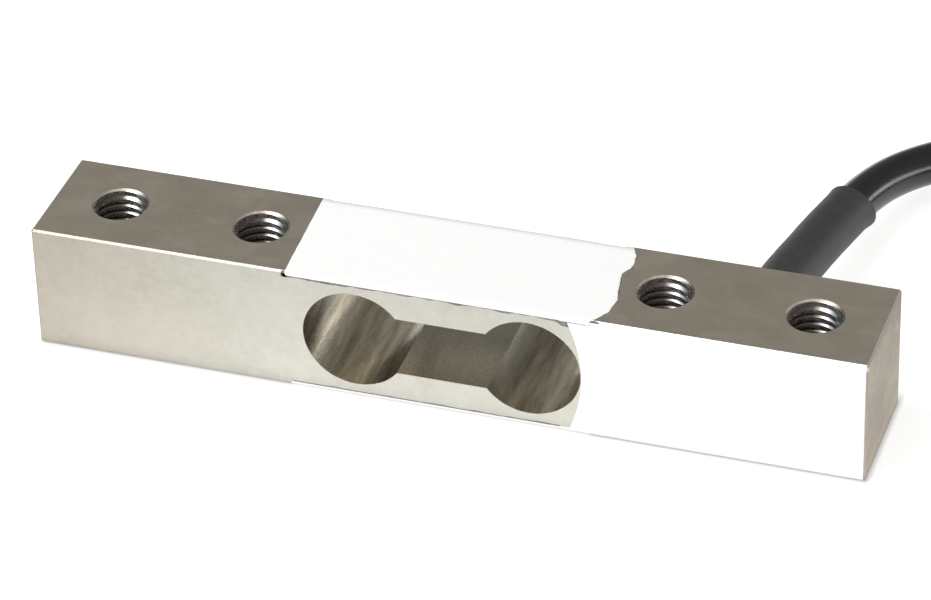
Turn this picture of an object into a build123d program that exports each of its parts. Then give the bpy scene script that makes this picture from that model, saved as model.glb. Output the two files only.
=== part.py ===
from build123d import *
from math import cos, pi, radians, sin, sqrt, tan
import os

# Single point load cell, in millimetres. +X runs along the bar towards the cable end,
# -Y is the labelled front face, +Z is up. The origin is under the middle of the bar.

# Bar
bar_length = 80.0
bar_width = 12.7
bar_height = 12.7
edge_chamfer = 0.18

# Double bore and the slot that joins it; the wall is what is left between bore and relief
bore_wall = 0.9
bore_pitch = 16.7
slot_share = 0.6

# Tapped holes, at the thread's outer diameter
thread_radius = 2.5
thread_mouth_radius = 2.7
hole_end_distance = 6.5
hole_pitch = 14.0

# Shallow relief over and under the bores, which holds the gauges and their coat
relief_depth = 0.45
relief_load_side = 14.8
relief_cable_side = 14.2

# Silicone coat, with its reach past each end of the relief on the upper face
coat_proud = 0.08
coat_set_back = 0.05
coat_edge_round = 0.25
coat_past_front = 0.1
coat_past_rear = 0.7
coat_past_torn = 1.52
# The torn end from rear to front, in shares of that reach and of the half width
coat_torn_shares = [
    (0.39, 1.0),
    (0.76, 0.82),
    (0.92, 0.58),
    (0.82, 0.44),
    (0.46, 0.3),
    (0.72, -0.08),
    (1.0, -0.42),
    (0.86, -0.76),
    (0.33, -1.0),
]

# Label
label_thickness = 0.1
label_end_margin = 0.22
label_top_margin = 0.55
label_bottom_margin = 0.25
label_rim_gap = 0.06
label_edge_radius = 14.75

# Strain gauges
backing_thickness = 0.06
backing_end_margin = 0.35
backing_side_margin = 0.65
foil_thickness = 0.03
grid_strands = 10
grid_length = 3.0
strand_width = 0.15
strand_gap = 0.13
end_loop = 0.3
tab_length = 1.2
tab_width = 1.1
tab_offset = 0.8
tab_reach = 1.0

# Terminal films, pads and solder
film_end_margin = 0.6
film_side_margin = 1.0
film_offset = 2.4
pad_length = 1.4
pad_width = 1.6
pad_pitch = 2.2
solder_radius = 0.42
solder_height = 0.28

# Wires under the coat
wire_radius = 0.12
wire_spacing = 0.33
wire_bend = 0.8
wire_lift = 0.01
jumper_radius = 0.08
jumper_bow = 0.4
wire_grip = 0.15

# Cable pocket in the rear face, and the wire passages that leave it
pocket_depth = 5.5
pocket_clearance = 0.05
potting_depth = 3.0
passage_radius = 0.6
passage_end_margin = 1.6
passage_side_margin = 1.35
passage_start = 1.0
wire_entry = 1.3

# Cable, its cores and the entry sleeve
cable_radius = 2.05
sleeve_wall = 0.4
sleeve_run_share = 0.53
core_radius = 0.4
core_pitch = 0.95
core_length = 0.75
core_wire_radius = 0.25
splice_radius = 0.38
splice_reach = 0.5
splice_fan = 0.14

# The free cable's route from the middle of the pocket's mouth, along the bar and out from its
# rear face, and the share of the drop down to the coil that it has made at each place
cable_route = [
    (0.0, 3.25),
    (0.5, 9.05),
    (1.25, 14.95),
    (2.15, 20.95),
    (3.7, 28.25),
    (6.15, 33.5),
    (10.15, 38.05),
    (16.55, 41.95),
    (25.0, 44.25),
    (29.8, 44.25),
]
drop_shares = (0.0, 0.17, 0.36, 0.5, 0.63, 0.77, 0.91, 1.0, 1.0, 1.0)

# Coil of the put-away length, with its tie
coil_radius = 27.0
coil_gap = 0.5
coil_entry_stub = 15.0
coil_end_angle = 80.0
tie_thickness = 0.35
tie_width = 3.0
tie_clearance = 0.1
tie_angle = -60.0

# Far end: sleeve over the jacket's end, four leads and the shield's drain wire
end_sleeve_angle = 26.0
end_sleeve_wall = 0.35
lead_radius = 0.5
lead_start = 2.4
lead_step_angles = (20.0, 33.0, 46.0, 59.0, 72.0)
lead_settle = (0.5, 0.86, 1.0, 1.0, 1.0)
drain_radius = 0.3
tip_length = 4.0
# Each lead's place on the end sleeve, outwards and up, and its place on the floor
leads = {
    "lead_red": (0.6, -0.6, 0.9),
    "lead_black": (0.6, 0.6, -0.9),
    "lead_green": (-0.6, -0.6, -2.7),
    "lead_white": (-0.6, 0.6, -4.7),
}
drain_place = (-1.5, 0.0, -6.5)

# Worked out from the sizes above
half_length = bar_length / 2
half_width = bar_width / 2
half_height = bar_height / 2
bore_x = bore_pitch / 2
bore_radius = half_height - relief_depth - bore_wall
slot_height = 2 * slot_share * bore_radius
outer_hole_x = half_length - hole_end_distance
inner_hole_x = outer_hole_x - hole_pitch
relief_floor = bar_height - relief_depth
film_top = relief_floor + backing_thickness
pad_top = film_top + foil_thickness
wire_level = pad_top + wire_lift + wire_radius
jumper_level = pad_top + wire_lift + jumper_radius
strand_pitch = strand_width + strand_gap
grid_width = strand_pitch * (grid_strands - 1) + strand_width
tab_end = grid_length / 2 + tab_reach + tab_length

sleeve_radius = cable_radius + sleeve_wall
pocket_radius = sleeve_radius + pocket_clearance
pocket_x = (inner_hole_x + outer_hole_x) / 2
pocket_floor = half_width - pocket_depth
cable_start = pocket_floor + potting_depth
splice_y = cable_start - core_length - splice_reach

coil_level = tie_thickness + tie_clearance / 2 + cable_radius
coil_pitch = 2 * cable_radius + coil_gap
coil_x = pocket_x + cable_route[-1][0] + coil_entry_stub
coil_y = half_width + cable_route[-1][1] - coil_radius
end_arc_radius = coil_radius - 2 * coil_pitch


def cylinder_y(x, z, front, rear, radius):
    """Cylinder along Y between two places."""
    return Pos(x, (front + rear) / 2, z) * Rot(90, 0, 0) * Cylinder(radius, rear - front)


def block(x0, x1, y0, y1, z0, z1):
    """Box between two corners."""
    return Pos((x0 + x1) / 2, (y0 + y1) / 2, (z0 + z1) / 2) * Box(x1 - x0, y1 - y0, z1 - z0)


def corner_radii(points):
    """As large an arc at each corner as its two runs allow."""
    places = [Vector(*p) for p in points]
    radii = []
    for before, corner, after in zip(places, places[1:], places[2:]):
        run_in = corner - before
        run_out = after - corner
        turn = radians(run_in.get_angle(run_out))
        radii.append(0.45 * min(run_in.length, run_out.length) / tan(turn / 2))
    return radii


def tube(points, radius, radii=None):
    """Round tube along straight runs joined by tangent arcs."""
    path = FilletPolyline(*points, radius=radii or corner_radii(points))
    section = Plane(origin=path @ 0, z_dir=path % 0) * Circle(radius)
    return sweep(section, path=path)


def lower_copy(piece):
    """The same piece on the underside of the bar."""
    return mirror(piece, about=Plane.XY.offset(half_height))


def solids_of(pieces):
    """All the solids of several pieces, as one list."""
    return [solid for piece in pieces for solid in piece.solids()]


def group(pieces):
    """Separate solids kept together as one node."""
    return Compound(children=solids_of(pieces))


def passage_ends():
    """The upper wire passage's axis, from the pocket to the floor of the relief."""
    start = Vector(pocket_x - passage_start, splice_y, half_height)
    mouth = Vector(
        relief_cable_side - passage_end_margin, half_width - passage_side_margin, relief_floor
    )
    return start, mouth


def wire_passage():
    """Drill for the upper passage, run out past the floor of the relief."""
    start, mouth = passage_ends()
    way = mouth - start
    length = way.length * (1 + relief_depth / way.Z) + passage_radius
    drill = Cylinder(passage_radius, length, align=(Align.CENTER, Align.CENTER, Align.MIN))
    return Plane(origin=start, z_dir=way) * drill


def tapped_hole(x):
    """Through hole with a small countersink at each mouth."""
    sink = thread_mouth_radius - thread_radius
    hole = Pos(x, 0, half_height) * Cylinder(thread_radius, bar_height)
    lower = Pos(x, 0, sink / 2) * Cone(thread_mouth_radius, thread_radius, sink)
    upper = Pos(x, 0, bar_height - sink / 2) * Cone(thread_radius, thread_mouth_radius, sink)
    return hole + lower + upper


def relief():
    """The shallow relief in the upper face, across the whole width of the bar."""
    return block(
        -relief_load_side, relief_cable_side, -half_width, half_width, relief_floor, bar_height
    )


def spring_element():
    """The bar with its double bore, slot, reliefs, holes, pocket and passages."""
    bar = Pos(0, 0, half_height) * Box(bar_length, bar_width, bar_height)
    bar = chamfer(bar.edges(), edge_chamfer)
    cuts = [
        cylinder_y(-bore_x, half_height, -half_width, half_width, bore_radius),
        cylinder_y(bore_x, half_height, -half_width, half_width, bore_radius),
        Pos(0, 0, half_height) * Box(bore_pitch, bar_width, slot_height),
        relief(),
        lower_copy(relief()),
        cylinder_y(pocket_x, half_height, pocket_floor, half_width, pocket_radius),
        wire_passage(),
        lower_copy(wire_passage()),
    ]
    for x in (-outer_hole_x, -inner_hole_x, inner_hole_x, outer_hole_x):
        cuts.append(tapped_hole(x))
    return bar - cuts


def gauge_backing(side):
    """Carrier film of one upper gauge; side is -1 at the load end and 1 at the cable end."""
    inner = bore_x - tab_end - backing_end_margin
    outer = bore_x + grid_length / 2 + end_loop + backing_end_margin
    width = grid_width + 2 * backing_side_margin
    middle = Pos(side * (inner + outer) / 2, 0, (relief_floor + film_top) / 2)
    return middle * Box(outer - inner, width, backing_thickness)


def gauge_grid(side):
    """Foil grid of one upper gauge: strands, end loops and two solder tabs."""
    first = -strand_pitch * (grid_strands - 1) / 2
    foil = Sketch()
    for i in range(grid_strands):
        foil += Pos(0, first + i * strand_pitch) * Rectangle(grid_length, strand_width)
    for i in range(grid_strands - 1):
        end = 1 if i % 2 == 0 else -1
        place = Pos(end * (grid_length + end_loop) / 2, first + (i + 0.5) * strand_pitch)
        foil += place * Rectangle(end_loop, strand_pitch + strand_width)
    lead_in = Rectangle(tab_reach, strand_width)
    tab = Rectangle(tab_length, tab_width)
    for hand in (-1, 1):
        foil += Pos(-(grid_length + tab_reach) / 2, -hand * first) * lead_in
        foil += Pos(tab_length / 2 - tab_end, hand * tab_offset) * tab
    if side < 0:
        foil = mirror(foil, about=Plane.YZ)
    return Pos(side * bore_x, 0, film_top) * extrude(foil, foil_thickness)


def tab_centre(side, hand):
    """Middle of one solder tab."""
    return side * (bore_x - tab_end + tab_length / 2), hand * tab_offset


def pad_centres():
    """Middles of the three terminal pads, from the load end to the cable end."""
    return [(step * pad_pitch, film_offset) for step in (-1, 0, 1)]


def terminal_film():
    """Film that carries the terminal pads."""
    length = 2 * pad_pitch + pad_length + 2 * film_end_margin
    width = pad_width + 2 * film_side_margin
    return Pos(0, film_offset, (relief_floor + film_top) / 2) * Box(length, width, backing_thickness)


def terminal_pads():
    """Three copper pads on the film."""
    pad = Box(pad_length, pad_width, foil_thickness)
    return group([Pos(x, y, (film_top + pad_top) / 2) * pad for x, y in pad_centres()])


def jumper_paths():
    """Way of each jumper wire, from a gauge tab to a pad."""
    middle_pad = pad_centres()[1]
    paths = []
    for side, outer_pad in ((-1, pad_centres()[0]), (1, pad_centres()[2])):
        for hand, pad, inset in ((1, outer_pad, 0.0), (-1, middle_pad, wire_grip)):
            tab_x, tab_y = tab_centre(side, hand)
            bend_x = (tab_x + outer_pad[0]) / 2 if hand > 0 else outer_pad[0]
            paths.append([
                (tab_x, tab_y, jumper_level),
                (bend_x, tab_y + jumper_bow, jumper_level),
                (pad[0] + side * inset, pad[1] - wire_grip, jumper_level),
            ])
    return paths


def jumper_wires():
    """Four thin wires between tabs and pads."""
    return group([tube(points, jumper_radius) for points in jumper_paths()])


def bridge_wires(levels):
    """Three lacquered wires on the upper side, from splices at these heights to the pads."""
    start, mouth = passage_ends()
    way = mouth - start
    entry = start + way.normalized() * wire_entry
    landing = mouth + way * ((wire_level - relief_floor) / way.Z)
    wires = []
    for (pad_x, pad_y), level, place in zip(pad_centres(), levels, (1, 0, -1)):
        across = place * wire_spacing
        points = [
            (pocket_x, splice_y + across, level + splice_fan),
            (entry.X, entry.Y + across, entry.Z),
            (landing.X, landing.Y + across, wire_level),
            (pad_x, landing.Y + across, wire_level),
            (pad_x, pad_y + wire_grip, wire_level),
        ]
        wires.append(tube(points, wire_radius, [wire_bend] * 3))
    return group(wires)


def solder_joints(held):
    """Solder beads on the tabs and pads, round the wires that they hold."""
    places = [tab_centre(side, hand) for side in (-1, 1) for hand in (-1, 1)] + pad_centres()
    beads = []
    for x, y in places:
        bead = Pos(x, y, pad_top + solder_height / 2) * Cylinder(solder_radius, solder_height)
        bead = fillet(bead.edges().sort_by(Axis.Z)[-1], solder_height / 2)
        beads.append(bead - solids_of(held))
    return group(beads)


def core_levels():
    """Heights of the green, red, black and white cores in the pocket."""
    return [half_height + core_pitch * step for step in (1.5, 0.5, -0.5, -1.5)]


def cable_core(level):
    """Insulated end of one core, inside the potting."""
    return cylinder_y(pocket_x, level, cable_start - core_length, cable_start, core_radius)


def core_splices(wires):
    """Soldered splices between the cores and the lacquered wires."""
    beads = []
    for level in core_levels():
        bead = Pos(pocket_x, splice_y, level) * Sphere(splice_radius)
        bead += cylinder_y(pocket_x, level, splice_y, cable_start - core_length, core_wire_radius)
        beads.append(bead - solids_of(wires))
    return group(beads)


def cable_potting(held):
    """Potting that fills the pocket's inner end, round everything that ends there."""
    plug = cylinder_y(pocket_x, half_height, pocket_floor, cable_start, pocket_radius)
    return plug - solids_of(held)


def coat_skin():
    """The coat's thin top on the bar's faces: cut straight at one end, torn at the other."""
    flat = half_width - edge_chamfer
    torn = []
    for reach, across in coat_torn_shares:
        torn.append((relief_cable_side + reach * coat_past_torn, across * flat))
    straight = [
        (-relief_load_side - coat_past_front, -flat),
        (-relief_load_side - coat_past_rear, flat),
    ]
    outline = make_face(Polyline(*torn, *straight, close=True))
    skin = Pos(0, 0, bar_height) * extrude(outline, coat_proud)
    return skin


def silicone(covered, with_skin):
    """Coat that fills the upper relief over the gauges, with its skin on the upper side."""
    top = bar_height if with_skin else bar_height - coat_set_back
    coat = block(
        -relief_load_side, relief_cable_side, -half_width, half_width, relief_floor, top
    )
    coat = fillet(coat.edges().filter_by(Axis.X).sort_by(Axis.Z)[-2:], coat_edge_round)
    if with_skin:
        coat = coat + coat_skin()
    return coat - solids_of(covered)


def blank_label():
    """Thin label on the front face, hollowed at one end round the rim of the bore."""
    left = bore_x + bore_radius + label_rim_gap
    right = half_length - label_end_margin
    low = label_bottom_margin
    high = bar_height - label_top_margin
    half_side = (high - low) / 2
    hollow = label_edge_radius - sqrt(label_edge_radius**2 - half_side**2)
    corner = left - hollow
    outline = Line((corner, low), (right, low)) + Line((right, low), (right, high))
    outline += Line((right, high), (corner, high))
    outline += ThreePointArc((corner, high), (left, (low + high) / 2), (corner, low))
    return extrude(Plane.XZ.offset(half_width) * make_face(outline), label_thickness)


def cable_points():
    """The free cable's route from the potting to the coil."""
    drop = coil_level - half_height
    points = [(pocket_x, cable_start, half_height)]
    for (along, out), share in zip(cable_route, drop_shares):
        points.append((pocket_x + along, half_width + out, half_height + share * drop))
    return points


def entry_sleeve():
    """Heat-shrink sleeve on the first stretch of the cable."""
    points = cable_points()
    before, after = Vector(*points[4]), Vector(*points[5])
    end = before + (after - before) * sleeve_run_share
    covered = points[:5] + [(end.X, end.Y, end.Z)]
    radii = corner_radii(points)[:4]
    return tube(covered, sleeve_radius, radii) - tube(covered, cable_radius, radii)


def half_ring(centre_y, outer_turn, start_angle):
    """Half of the coil's rounded ring, which holds two turns side by side."""
    middle_turn = outer_turn - coil_pitch / 2
    slot = SlotCenterToCenter(coil_pitch, 2 * cable_radius)
    ring = revolve(Plane.XZ * Pos(middle_turn, 0) * slot, Axis.Z, 180)
    return Pos(coil_x, centre_y, coil_level) * Rot(0, 0, start_angle) * ring


def end_arc(from_angle, to_angle, radius):
    """Stretch of the cable's inner end, clockwise from the top of the coil."""
    section = Plane.XZ * Pos(end_arc_radius, 0) * Circle(radius)
    arc = revolve(section, Axis.Z, to_angle - from_angle)
    return Pos(coil_x, coil_y, coil_level) * Rot(0, 0, 90 - to_angle) * arc


def cable_coil():
    """Closed outer shape of the coil, with the cable's way in and its inner end."""
    right_half = half_ring(coil_y, coil_radius, -90)
    left_half = half_ring(coil_y - coil_pitch / 2, coil_radius - coil_pitch / 2, 90)
    stub = Rot(0, 90, 0) * Cylinder(cable_radius, coil_entry_stub)
    stub = Pos(coil_x - coil_entry_stub / 2, coil_y + coil_radius, coil_level) * stub
    inner_end = end_arc(0, coil_end_angle - end_sleeve_angle, cable_radius)
    return right_half + left_half + stub + inner_end


def coil_tie():
    """Flat tie round both turns of the coil."""
    span = coil_pitch + 2 * cable_radius + 2 * tie_clearance
    height = 2 * cable_radius + tie_clearance
    outer = Box(span + 2 * tie_thickness, tie_width, height + 2 * tie_thickness)
    inner = Box(span, tie_width, height)
    inner_round = cable_radius / 2
    band = fillet(outer.edges().filter_by(Axis.Y), inner_round + tie_thickness)
    band = band - fillet(inner.edges().filter_by(Axis.Y), inner_round)
    middle = Pos(coil_radius - coil_pitch / 2, 0, 0)
    return Pos(coil_x, coil_y, coil_level) * Rot(0, 0, tie_angle) * middle * band


def end_sleeve():
    """Short sleeve over the end of the jacket, from which the leads come."""
    start = coil_end_angle - end_sleeve_angle
    return end_arc(start, coil_end_angle, cable_radius + end_sleeve_wall)


def lead_points(place, radius):
    """One lead's way inside the coil, from the end sleeve down to the floor."""
    outwards, up, floor_place = place
    start_angle = radians(90 - coil_end_angle)
    reach = end_arc_radius + outwards
    height = coil_level + up
    start = (coil_x + reach * cos(start_angle), coil_y + reach * sin(start_angle), height)
    second = (
        start[0] + lead_start * sin(start_angle),
        start[1] - lead_start * cos(start_angle),
        height,
    )
    points = [start, second]
    target = end_arc_radius + floor_place
    for angle, share in zip(lead_step_angles, lead_settle):
        turn = start_angle - radians(angle) * end_arc_radius / target
        out = reach + (target - reach) * share
        level = height + (radius - height) * share
        points.append((coil_x + out * cos(turn), coil_y + out * sin(turn), level))
    return points


def tinned_tip(points, radius):
    """Tinned end that sticks out of one lead."""
    before, last = Vector(*points[-2]), Vector(*points[-1])
    tip = Cylinder(radius, tip_length, align=(Align.CENTER, Align.CENTER, Align.MIN))
    return Plane(origin=last, z_dir=last - before) * tip


def save(name, piece):
    """Write one node."""
    solids = piece.solids()
    shape = solids[0] if len(solids) == 1 else Compound(children=list(solids))
    export_step(shape, f"parts/{name}.step")


def save_both_sides(name, piece):
    """Write one node on the upper side of the bar and its copy on the lower side."""
    save(f"{name}_upper", piece)
    save(f"{name}_lower", lower_copy(piece))


def save_gauges_and_wires():
    """Write what lies under the coats and in the pocket, and the coats and the potting."""
    green, red, black, white = core_levels()
    wires = bridge_wires([red, green, black])
    mirrored = bridge_wires([bar_height - level for level in (red, white, black)])
    lower_wires = lower_copy(mirrored)
    save("bridge_wires_upper", wires)
    save("bridge_wires_lower", lower_wires)

    jumpers = jumper_wires()
    shared = {
        "terminal_film": terminal_film(),
        "terminal_pads": terminal_pads(),
        "jumper_wires": jumpers,
    }
    for side, end in ((-1, "load_end"), (1, "cable_end")):
        shared[f"gauge_backing_{end}"] = gauge_backing(side)
        shared[f"gauge_grid_{end}"] = gauge_grid(side)
    for name, piece in shared.items():
        save_both_sides(name, piece)

    solder = solder_joints([wires, jumpers])
    mirrored_solder = solder_joints([mirrored, jumpers])
    save("solder_joints_upper", solder)
    save("solder_joints_lower", lower_copy(mirrored_solder))
    covered = list(shared.values())
    save("silicone_upper", silicone(covered + [wires, solder], True))
    save("silicone_lower", lower_copy(silicone(covered + [mirrored, mirrored_solder], False)))

    cores = []
    for colour, level in zip(("green", "red", "black", "white"), core_levels()):
        cores.append(cable_core(level))
        save(f"cable_core_{colour}", cores[-1])
    splices = core_splices([wires, lower_wires])
    save("core_splices", splices)
    save("cable_potting", cable_potting([wires, lower_wires, splices] + cores))


def save_cable():
    """Write the cable with its sleeves, coil, tie and leads."""
    save("entry_sleeve", entry_sleeve())
    save("cable", tube(cable_points(), cable_radius))
    save("cable_coil", cable_coil())
    save("coil_tie", coil_tie())
    save("end_sleeve", end_sleeve())
    tips = []
    for name, place in leads.items():
        points = lead_points(place, lead_radius)
        save(name, tube(points, lead_radius))
        tips.append(tinned_tip(points, core_wire_radius))
    save("tinned_tips", group(tips))
    save("drain_wire", tube(lead_points(drain_place, drain_radius), drain_radius))


def print_cable_facts():
    """Print the cable's radii and lengths, and its tube's volume beside section times length."""
    points = cable_points()
    radii = corner_radii(points)
    path = FilletPolyline(*points, radius=radii)
    expected = pi * cable_radius**2 * path.length
    share = tube(points, cable_radius).volume / expected
    print("cable radii:", [round(r, 1) for r in radii])
    print("tube length:", round(path.length, 1))
    print("tube volume as a share of section times length:", round(share, 5))
    coiled = pi * (4 * coil_radius - 3 * coil_pitch)
    inner = radians(coil_end_angle) * end_arc_radius
    print("whole cable:", round(path.length + coil_entry_stub + coiled + inner, 1))


def main():
    os.makedirs("parts", exist_ok=True)
    save("spring_element", spring_element())
    save("blank_label", blank_label())
    save_gauges_and_wires()
    save_cable()
    print_cable_facts()


main()
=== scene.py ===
import bpy
from math import cos, exp, pi, radians, sin, sqrt
from mathutils import Matrix, Vector, noise


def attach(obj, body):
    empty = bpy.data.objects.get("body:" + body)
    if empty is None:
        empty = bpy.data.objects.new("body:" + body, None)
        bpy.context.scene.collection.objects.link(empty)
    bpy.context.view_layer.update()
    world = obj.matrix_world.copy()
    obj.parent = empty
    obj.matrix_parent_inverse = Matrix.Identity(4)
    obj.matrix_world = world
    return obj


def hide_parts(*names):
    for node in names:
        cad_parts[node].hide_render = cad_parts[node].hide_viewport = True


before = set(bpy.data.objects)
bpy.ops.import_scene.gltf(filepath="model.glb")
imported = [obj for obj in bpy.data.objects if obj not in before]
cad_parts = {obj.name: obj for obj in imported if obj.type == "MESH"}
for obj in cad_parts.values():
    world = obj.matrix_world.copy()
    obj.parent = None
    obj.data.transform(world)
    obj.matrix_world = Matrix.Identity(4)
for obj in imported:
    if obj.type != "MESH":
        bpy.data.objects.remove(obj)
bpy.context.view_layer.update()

# A single point load cell, dressed for the picture. The frame is the CAD's: +X along the bar
# towards the cable end, -Y out of the labelled front, +Z up. Sizes are in millimetres and are
# turned into metres where a mesh is made.
MM = 0.001

# Sizes repeated from the part's source
BAR_LENGTH = 80.0
BAR_WIDTH = 12.7
BAR_HEIGHT = 12.7
HALF_LENGTH = BAR_LENGTH / 2
HALF_WIDTH = BAR_WIDTH / 2
HALF_HEIGHT = BAR_HEIGHT / 2
EDGE_CHAMFER = 0.18
BORE_RADIUS = 5.0
BORE_X = 8.35
SLOT_HEIGHT = 6.0
THREAD_RADIUS = 2.5
THREAD_MOUTH = 2.7
HOLE_GROUP_X = 26.5
HOLE_HALF_PITCH = 7.0
RELIEF_DEPTH = 0.45
RELIEF_LOAD_SIDE = -14.8
RELIEF_CABLE_SIDE = 14.2
CABLE_RADIUS = 2.05
SLEEVE_RADIUS = 2.45
LEAD_RADIUS = 0.5
DRAIN_RADIUS = 0.3

# The free cable, as in the part's source: its route to the coil, and the coil's turns. The turns
# lie low and rise to the coil's level where the tie passes under them. The places of the coil's
# inner end are given in degrees past its top.
CABLE_ROUTE = [
    (26.5, 3.85, 6.35),
    (26.5, 9.6, 6.35),
    (27.0, 15.4, 5.687),
    (27.75, 21.3, 4.946),
    (28.65, 27.3, 4.4),
    (30.2, 34.6, 3.893),
    (32.65, 39.85, 3.347),
    (36.65, 44.4, 2.801),
    (43.05, 48.3, 2.45),
    (51.5, 50.6, 2.45),
]
COIL_CENTRE = (71.3, 23.6)
COIL_RADIUS = 27.0
COIL_PITCH = 4.6
COIL_LEVEL = 2.45
COIL_LOW = 2.13
COIL_STEPS = 24
COIL_ENTRY_X = 56.3
COIL_ENTRY_Z = 2.35
COIL_END_TURNS = (14, 29, 44, 58, 70)
COIL_END_RAISED = 44
COIL_END_ANGLE = 80.0
COIL_END_RADIUS = COIL_RADIUS - 2 * COIL_PITCH
TIE_ANGLE = -60.0
TIE_REACH = 28.0
END_SLEEVE_LENGTH = 8.1
ENTRY_SLEEVE_END = 28.2


def spline_curve(name, points, radius):
    """Smooth curve with these points as its control points; its bevel is scaled by the radius."""
    data = bpy.data.curves.new(name, "CURVE")
    data.dimensions = "3D"
    data.resolution_u = 12
    data.use_fill_caps = True
    spline = data.splines.new("NURBS")
    spline.points.add(len(points) - 1)
    for target, point in zip(spline.points, points):
        target.co = (point[0] * MM, point[1] * MM, point[2] * MM, 1.0)
        target.radius = radius * MM
    spline.order_u = 3
    spline.use_endpoint_u = True
    piece = bpy.data.objects.new(name, data)
    bpy.context.scene.collection.objects.link(piece)
    return piece


def read_line(curve):
    """Points along a curve's own line, in millimetres; the curve has no bevel yet."""
    mesh = bpy.data.meshes.new_from_object(curve)
    line = [vertex.co / MM for vertex in mesh.vertices]
    bpy.data.meshes.remove(mesh)
    return line


def coil_points():
    """Two flat turns and the inner end, clockwise from the top of the coil."""
    centre_x, centre_y = COIL_CENTRE
    outset = 1 / cos(pi / COIL_STEPS)
    half_steps = COIL_STEPS // 2
    points = []
    for step in range(1, 2 * COIL_STEPS + 1):
        half_turn = step // half_steps
        radius = COIL_RADIUS - half_turn * COIL_PITCH / 2
        middle_y = centre_y - (half_turn % 2) * COIL_PITCH / 2
        if step % half_steps == 0:
            radius = COIL_RADIUS - (half_turn - 0.5) * COIL_PITCH / 2
            middle_y = centre_y - COIL_PITCH / 4
        bearing = 90 - 360 * (step - 0.5) / COIL_STEPS
        from_tie = (bearing - TIE_ANGLE + 180) % 360 - 180
        points.append((
            centre_x + outset * radius * cos(radians(bearing)),
            middle_y + outset * radius * sin(radians(bearing)),
            COIL_LOW + (COIL_LEVEL - COIL_LOW) / (1 + (from_tie / TIE_REACH) ** 2),
        ))
    for turn in COIL_END_TURNS:
        angle = radians(90 - turn)
        points.append((
            centre_x + outset * COIL_END_RADIUS * cos(angle),
            centre_y + outset * COIL_END_RADIUS * sin(angle),
            COIL_LOW + (COIL_LEVEL - COIL_LOW) * min(1.0, turn / COIL_END_RAISED),
        ))
    angle = radians(90 - COIL_END_ANGLE)
    points.append((
        centre_x + COIL_END_RADIUS * cos(angle),
        centre_y + COIL_END_RADIUS * sin(angle),
        COIL_LEVEL,
    ))
    return points


# Camera, fitted to the photograph
AZIMUTH = radians(18.883)
ELEVATION = radians(34.517)
ROLL = radians(-1.691)
DISTANCE = 429.641
AIM_ACROSS = 0.152
AIM_UP = 6.683
FOCAL_PIXELS = 4603.697
PICTURE_WIDTH = 931

back = Vector((
    sin(AZIMUTH) * cos(ELEVATION),
    -cos(AZIMUTH) * cos(ELEVATION),
    sin(ELEVATION),
))
level_right = Vector((cos(AZIMUTH), sin(AZIMUTH), 0))
level_up = back.cross(level_right)
right = cos(ROLL) * level_right + sin(ROLL) * level_up
up = cos(ROLL) * level_up - sin(ROLL) * level_right
camera_data = bpy.data.cameras.new("camera")
camera_data.sensor_fit = "HORIZONTAL"
camera_data.sensor_width = 36.0
camera_data.lens = camera_data.sensor_width * FOCAL_PIXELS / PICTURE_WIDTH
camera_data.clip_start = 0.01
camera_data.clip_end = 20.0
camera = bpy.data.objects.new("camera", camera_data)
bpy.context.scene.collection.objects.link(camera)
camera_turn = Matrix((right, up, back)).transposed().to_4x4()
camera_place = (right * AIM_ACROSS + up * AIM_UP + back * DISTANCE) * MM
camera.matrix_world = Matrix.Translation(camera_place) @ camera_turn
bpy.context.scene.camera = camera

# The cable comes first: everything on it follows its line
coil_entry = [(COIL_ENTRY_X, COIL_CENTRE[1] + COIL_RADIUS, COIL_ENTRY_Z)]
cable = spline_curve("cable_jacket", CABLE_ROUTE + coil_entry + coil_points(), CABLE_RADIUS)
cable_line = read_line(cable)
cable.data.bevel_depth = 1.0
cable.data.bevel_resolution = 8
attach(cable, "root")
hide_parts("cable", "cable_coil")


def new_piece(name, points, faces, smooth_angle=40):
    """Mesh piece from points in millimetres."""
    mesh = bpy.data.meshes.new(name)
    mesh.from_pydata([Vector(p) * MM for p in points], [], faces)
    mesh.update()
    mesh.shade_smooth()
    mesh.set_sharp_from_angle(angle=radians(smooth_angle))
    piece = bpy.data.objects.new(name, mesh)
    bpy.context.scene.collection.objects.link(piece)
    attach(piece, "root")
    return piece


def loft(name, rings, smooth_angle=40, strip_ends=False):
    """Closed piece from rings of points. Each end is one face, or a strip from a ring's first
    half to its second."""
    count = len(rings[0])
    points = [point for ring in rings for point in ring]
    faces = []
    for i in range(len(rings) - 1):
        for j in range(count):
            k = (j + 1) % count
            faces.append((i * count + j, i * count + k, (i + 1) * count + k, (i + 1) * count + j))
    last = (len(rings) - 1) * count
    if strip_ends:
        for j in range(count // 2 - 1):
            strip = (j, count - 1 - j, count - 2 - j, j + 1)
            faces.append(strip)
            faces.append(tuple(last + k for k in reversed(strip)))
    else:
        faces.append(tuple(reversed(range(count))))
        faces.append(tuple(range(last, last + count)))
    return new_piece(name, points, faces, smooth_angle)


def line_lengths(line):
    """Distance along a line at each of its points."""
    lengths = [0.0]
    for a, b in zip(line, line[1:]):
        lengths.append(lengths[-1] + (b - a).length)
    return lengths


def place_on(line, lengths, distance):
    """Point and direction at a distance along a line."""
    distance = min(max(distance, 0.0), lengths[-1])
    for i in range(len(line) - 1):
        if lengths[i + 1] >= distance:
            share = (distance - lengths[i]) / (lengths[i + 1] - lengths[i])
            return line[i].lerp(line[i + 1], share), (line[i + 1] - line[i]).normalized()
    return line[-1].copy(), (line[-1] - line[-2]).normalized()


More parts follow.
